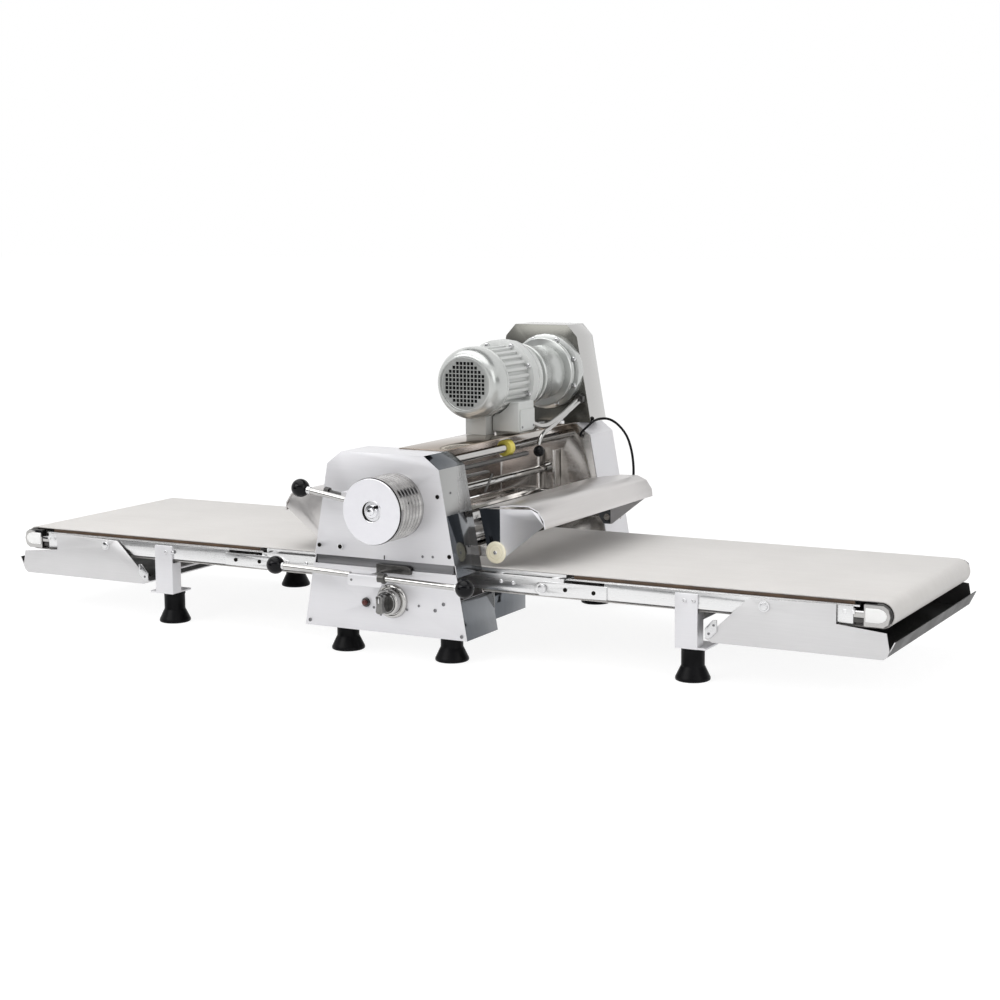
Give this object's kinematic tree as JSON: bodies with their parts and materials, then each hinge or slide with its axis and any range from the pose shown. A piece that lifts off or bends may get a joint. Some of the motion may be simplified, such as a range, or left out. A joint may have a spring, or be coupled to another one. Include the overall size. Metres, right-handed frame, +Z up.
{
  "type": "dough sheeter",
  "caption": "Bench dough sheeter: folding belt tables either side of a roller head with a gap wheel, finger guards, flour pans and a motor on top.",
  "frame": {"origin": "centre of the footprint, on the bench surface under the feet", "axes": "+X along the belts to the right, +Y from the operator's side to the drive side, +Z up"},
  "size_m": [2.032, 0.884, 0.63],
  "materials": {
    "bearing": "white bearing block",
    "belt": "woven cotton and polyester belt",
    "cable": "black cable sheath",
    "cast": "silver grey enamel on a casting",
    "chain": "oiled steel",
    "chrome": "ground and chromed steel",
    "dark": "blackened steel",
    "fan": "black fan",
    "frame": "satin steel",
    "knob": "switch knob",
    "lens": "red lamp lens",
    "nylon": "cream nylon",
    "panel": "finely brushed stainless sheet",
    "polished": "mirror polished stainless steel",
    "rubber": "moulded black rubber",
    "turned": "turned aluminium"
  },
  "bodies": {
    "head": {"base_frame": "frame", "belt_inner_left": "belt", "belt_inner_right": "belt", "control_box": "polished", "drive_chain": "chain", "drive_tower": "panel", "front_lower_cover": "panel", "front_side_plate": "frame", "front_upper_cover": "panel", "gearbox": "cast", "guard_bush_left": "nylon", "guard_bush_right": "nylon", "guard_switch_cable": "cable", "main_foot_left_front": "rubber", "main_foot_left_rear": "rubber", "main_foot_right_front": "rubber", "main_foot_right_rear": "rubber", "motor_body": "cast", "motor_conduit": "chrome", "motor_fan_cover": "cast", "pilot_lamp": "lens", "rear_cover": "panel", "rear_side_plate": "frame", "switch_housing": "chrome", "table_arm_left": "frame", "table_arm_right": "frame", "terminal_box": "cast", "tie_bar": "chrome", "top_cover": "polished"},
    "roller_carriage": {"roller_carriage": "frame"},
    "upper_roller": {"upper_press_roller": "chrome"},
    "lower_roller": {"lower_press_roller": "chrome"},
    "gap_wheel": {"gap_shaft": "chrome", "gap_handwheel": "turned", "gap_lever": "chrome"},
    "index_pin": {"index_pin": "dark"},
    "direction_lever": {"direction_lever": "chrome"},
    "switch_knob": {"switch_knob": "knob"},
    "motor_fan": {"motor_fan": "fan"},
    "drive_sprocket": {"drive_sprocket": "chain"},
    "table_left": {"table_leaf_left": "frame", "belt_outer_left": "belt", "end_axle_left": "bearing", "table_leg_left": "panel", "table_foot_left_front": "rubber", "table_foot_left_rear": "rubber"},
    "end_roller_left": {"end_roller_left": "chrome"},
    "drive_roller_left": {"drive_roller_left": "chrome"},
    "flour_pan_left": {"flour_pan_left": "panel"},
    "guard_left": {"guard_left": "polished"},
    "table_right": {"table_leaf_right": "frame", "belt_outer_right": "belt", "end_axle_right": "bearing", "table_leg_right": "panel", "table_foot_right_front": "rubber", "table_foot_right_rear": "rubber"},
    "end_roller_right": {"end_roller_right": "chrome"},
    "drive_roller_right": {"drive_roller_right": "chrome"},
    "flour_pan_right": {"flour_pan_right": "panel"},
    "guard_right": {"guard_right": "polished"}
  },
  "joints": [
    {"name": "gap_slide", "type": "slide", "parent": "head", "child": "roller_carriage", "axis": [0, 0, 1], "range_m": [0, 0.03]},
    {"name": "gap_turn", "type": "hinge", "parent": "head", "child": "gap_wheel", "pos_m": [0.03, -0.346, 0.312], "axis": [0, 1, 0], "range_deg": [0, 150.2]},
    {"name": "lower_roller_spin", "type": "hinge", "parent": "head", "child": "lower_roller", "pos_m": [0, 0.006, 0.147], "axis": [0, 1, 0], "continuous": true},
    {"name": "upper_roller_spin", "type": "hinge", "parent": "roller_carriage", "child": "upper_roller", "pos_m": [0, 0.006, 0.228], "axis": [0, 1, 0], "continuous": true},
    {"name": "drive_sprocket_spin", "type": "hinge", "parent": "head", "child": "drive_sprocket", "pos_m": [0.022, 0.374, 0.527], "axis": [0, 1, 0], "continuous": true},
    {"name": "fan_spin", "type": "hinge", "parent": "head", "child": "motor_fan", "pos_m": [0.022, -0.026, 0.527], "axis": [0, 1, 0], "continuous": true},
    {"name": "index_pin_pull", "type": "slide", "parent": "head", "child": "index_pin", "axis": [-0.9877, 0, 0.1564], "range_m": [0, 0.01], "stiffness_N_per_m": 300},
    {"name": "direction_swing", "type": "hinge", "parent": "head", "child": "direction_lever", "pos_m": [-0.008, -0.346, 0.166], "axis": [0, 1, 0], "range_deg": [-8, 8]},
    {"name": "switch_turn", "type": "hinge", "parent": "head", "child": "switch_knob", "pos_m": [0.019, -0.346, 0.121], "axis": [0, 1, 0], "range_deg": [-45, 45]},
    {"name": "table_fold_left", "type": "hinge", "parent": "head", "child": "table_left", "pos_m": [-0.31, 0.006, 0.156], "axis": [0, 1, 0], "range_deg": [0, 70]},
    {"name": "drive_roller_spin_left", "type": "hinge", "parent": "head", "child": "drive_roller_left", "pos_m": [-0.075, 0.006, 0.161], "axis": [0, 1, 0], "continuous": true},
    {"name": "end_roller_spin_left", "type": "hinge", "parent": "table_left", "child": "end_roller_left", "pos_m": [-0.983, 0.006, 0.161], "axis": [0, 1, 0], "continuous": true},
    {"name": "flour_pan_tilt_left", "type": "hinge", "parent": "table_left", "child": "flour_pan_left", "pos_m": [-0.768, 0.006, 0.162], "axis": [0, -1, 0], "range_deg": [0, 12]},
    {"name": "guard_lift_left", "type": "hinge", "parent": "head", "child": "guard_left", "pos_m": [-0.196, 0.006, 0.215], "axis": [0, 1, 0], "range_deg": [0, 45]},
    {"name": "table_fold_right", "type": "hinge", "parent": "head", "child": "table_right", "pos_m": [0.31, 0.006, 0.156], "axis": [0, -1, 0], "range_deg": [0, 70]},
    {"name": "drive_roller_spin_right", "type": "hinge", "parent": "head", "child": "drive_roller_right", "pos_m": [0.075, 0.006, 0.161], "axis": [0, 1, 0], "continuous": true},
    {"name": "end_roller_spin_right", "type": "hinge", "parent": "table_right", "child": "end_roller_right", "pos_m": [0.983, 0.006, 0.161], "axis": [0, 1, 0], "continuous": true},
    {"name": "flour_pan_tilt_right", "type": "hinge", "parent": "table_right", "child": "flour_pan_right", "pos_m": [0.768, 0.006, 0.162], "axis": [0, 1, 0], "range_deg": [0, 12]},
    {"name": "guard_lift_right", "type": "hinge", "parent": "head", "child": "guard_right", "pos_m": [0.196, 0.006, 0.215], "axis": [0, -1, 0], "range_deg": [0, 45]}
  ],
  "couplings": [
    {"joint": "gap_turn", "follows": "gap_slide", "rad_per_m": 87.266},
    {"joint": "upper_roller_spin", "follows": "lower_roller_spin", "ratio": -1},
    {"joint": "drive_sprocket_spin", "follows": "lower_roller_spin", "ratio": 1.5},
    {"joint": "fan_spin", "follows": "lower_roller_spin", "ratio": 15},
    {"joint": "drive_roller_spin_left", "follows": "lower_roller_spin", "ratio": 1.52},
    {"joint": "end_roller_spin_left", "follows": "lower_roller_spin", "ratio": 1.52},
    {"joint": "drive_roller_spin_right", "follows": "lower_roller_spin", "ratio": 1.52},
    {"joint": "end_roller_spin_right", "follows": "lower_roller_spin", "ratio": 1.52}
  ]
}
